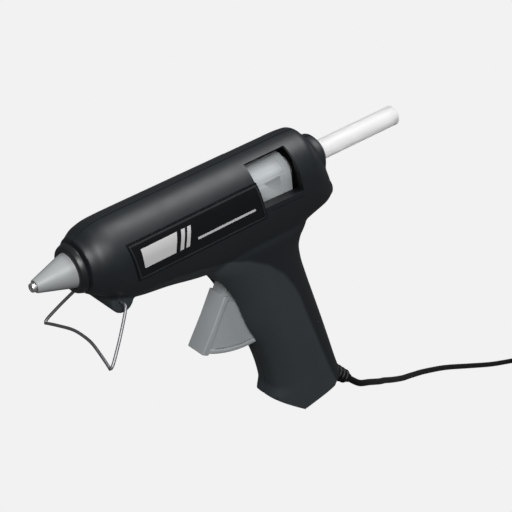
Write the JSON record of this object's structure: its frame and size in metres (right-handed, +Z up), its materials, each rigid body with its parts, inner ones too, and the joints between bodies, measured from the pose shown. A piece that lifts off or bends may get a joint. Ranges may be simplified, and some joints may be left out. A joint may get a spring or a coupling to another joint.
{
  "type": "hot-melt glue gun",
  "caption": "Hobby hot-melt glue gun with a glue stick loaded, standing on its fold-out wire stand and handle foot, with a trigger-driven stick feed and a mains lead.",
  "frame": {"origin": "centre of the gun's box, without the free cord, on the surface that it stands on", "axes": "-X towards the nozzle, +Z up, -Y is the gun's left side, which carries the label plate; the barrel points 37.6 degrees down"},
  "size_m": [0.8645, 0.3337, 0.1821],
  "materials": {
    "housing": "fine-textured black moulded plastic, satin on the barrel and matte on the handle",
    "collar": "smooth black plastic",
    "label": "smooth black inlay with a plain silver mark",
    "trigger": "mid-grey moulded plastic",
    "silicone": "satin grey silicone",
    "rubber": "matte black rubber",
    "steel": "drawn steel",
    "nozzle": "nickel-plated brass",
    "aluminium": "die-cast",
    "ceramic": "unglazed ceramic",
    "film": "amber insulating film",
    "glue": "milky translucent hot-melt glue",
    "seal": "red silicone",
    "white_plastic": "white polyamide"
  },
  "bodies": {
    "gun": {"housing_left": "housing", "housing_right": "housing", "front_collar": "collar", "label_plate": "label", "housing_screw_1": "steel", "housing_screw_2": "steel", "housing_screw_3": "steel", "housing_screw_4": "steel", "housing_screw_5": "steel", "nozzle": "nozzle", "nozzle_sleeve": "silicone", "valve_spring": "steel", "melt_chamber": "aluminium", "ptc_heater": "ceramic", "heater_insulator": "film", "heater_clip": "steel", "inlet_seal": "seal", "seal_clamp": "steel", "rear_guide": "collar", "trigger_pin": "steel", "trigger_spring": "steel", "terminal_block": "white_plastic", "lead_live": "seal", "lead_neutral": "white_plastic", "supply_tail": "rubber", "cord_clamp": "white_plastic", "clamp_screw_1": "steel", "clamp_screw_2": "steel", "strain_relief": "rubber", "cord": "rubber", "cord_coil": "rubber", "cord_tail": "rubber", "plug_body": "rubber", "plug_pin_1": "steel", "plug_pin_2": "steel"},
    "trigger": {"trigger": "trigger"},
    "carriage": {"feed_carriage": "trigger", "gripper_pin": "steel"},
    "gripper": {"stick_gripper": "steel"},
    "stick": {"glue_stick": "glue"},
    "stand": {"wire_stand": "steel"},
    "valve": {"valve_ball": "steel"}
  },
  "joints": [
    {"name": "trigger_pull", "type": "hinge", "parent": "gun", "child": "trigger", "pos_m": [-0.00553, 0, 0.08016], "axis": [0, -1, 0], "range_deg": [0, 20], "stiffness_Nm_per_rad": 0.6, "springref_deg": -8.59},
    {"name": "carriage_feed", "type": "slide", "parent": "gun", "child": "carriage", "axis": [-0.7923, 0, -0.6101], "range_m": [0, 0.009]},
    {"name": "gripper_tilt", "type": "hinge", "parent": "carriage", "child": "gripper", "pos_m": [-0.0008, 0, 0.11334], "axis": [0, 1, 0], "range_deg": [0, 5.1]},
    {"name": "stick_feed", "type": "slide", "parent": "gun", "child": "stick", "axis": [-0.7923, 0, -0.6101], "range_m": [0, 0.035]},
    {"name": "stand_fold", "type": "hinge", "parent": "gun", "child": "stand", "pos_m": [-0.07953, 0, 0.03365], "axis": [0, -1, 0], "range_deg": [0, 110]},
    {"name": "valve_lift", "type": "slide", "parent": "gun", "child": "valve", "axis": [-0.7923, 0, -0.6101], "range_m": [0, 0.001], "stiffness_N_per_m": 200, "springref_m": -0.001, "deforming": ["valve_spring"]}
  ],
  "couplings": [
    {"joint": "carriage_feed", "follows": "trigger_pull", "m_per_rad": 0.025475},
    {"joint": "gripper_tilt", "follows": "trigger_pull", "ratio": 0.25}
  ]
}
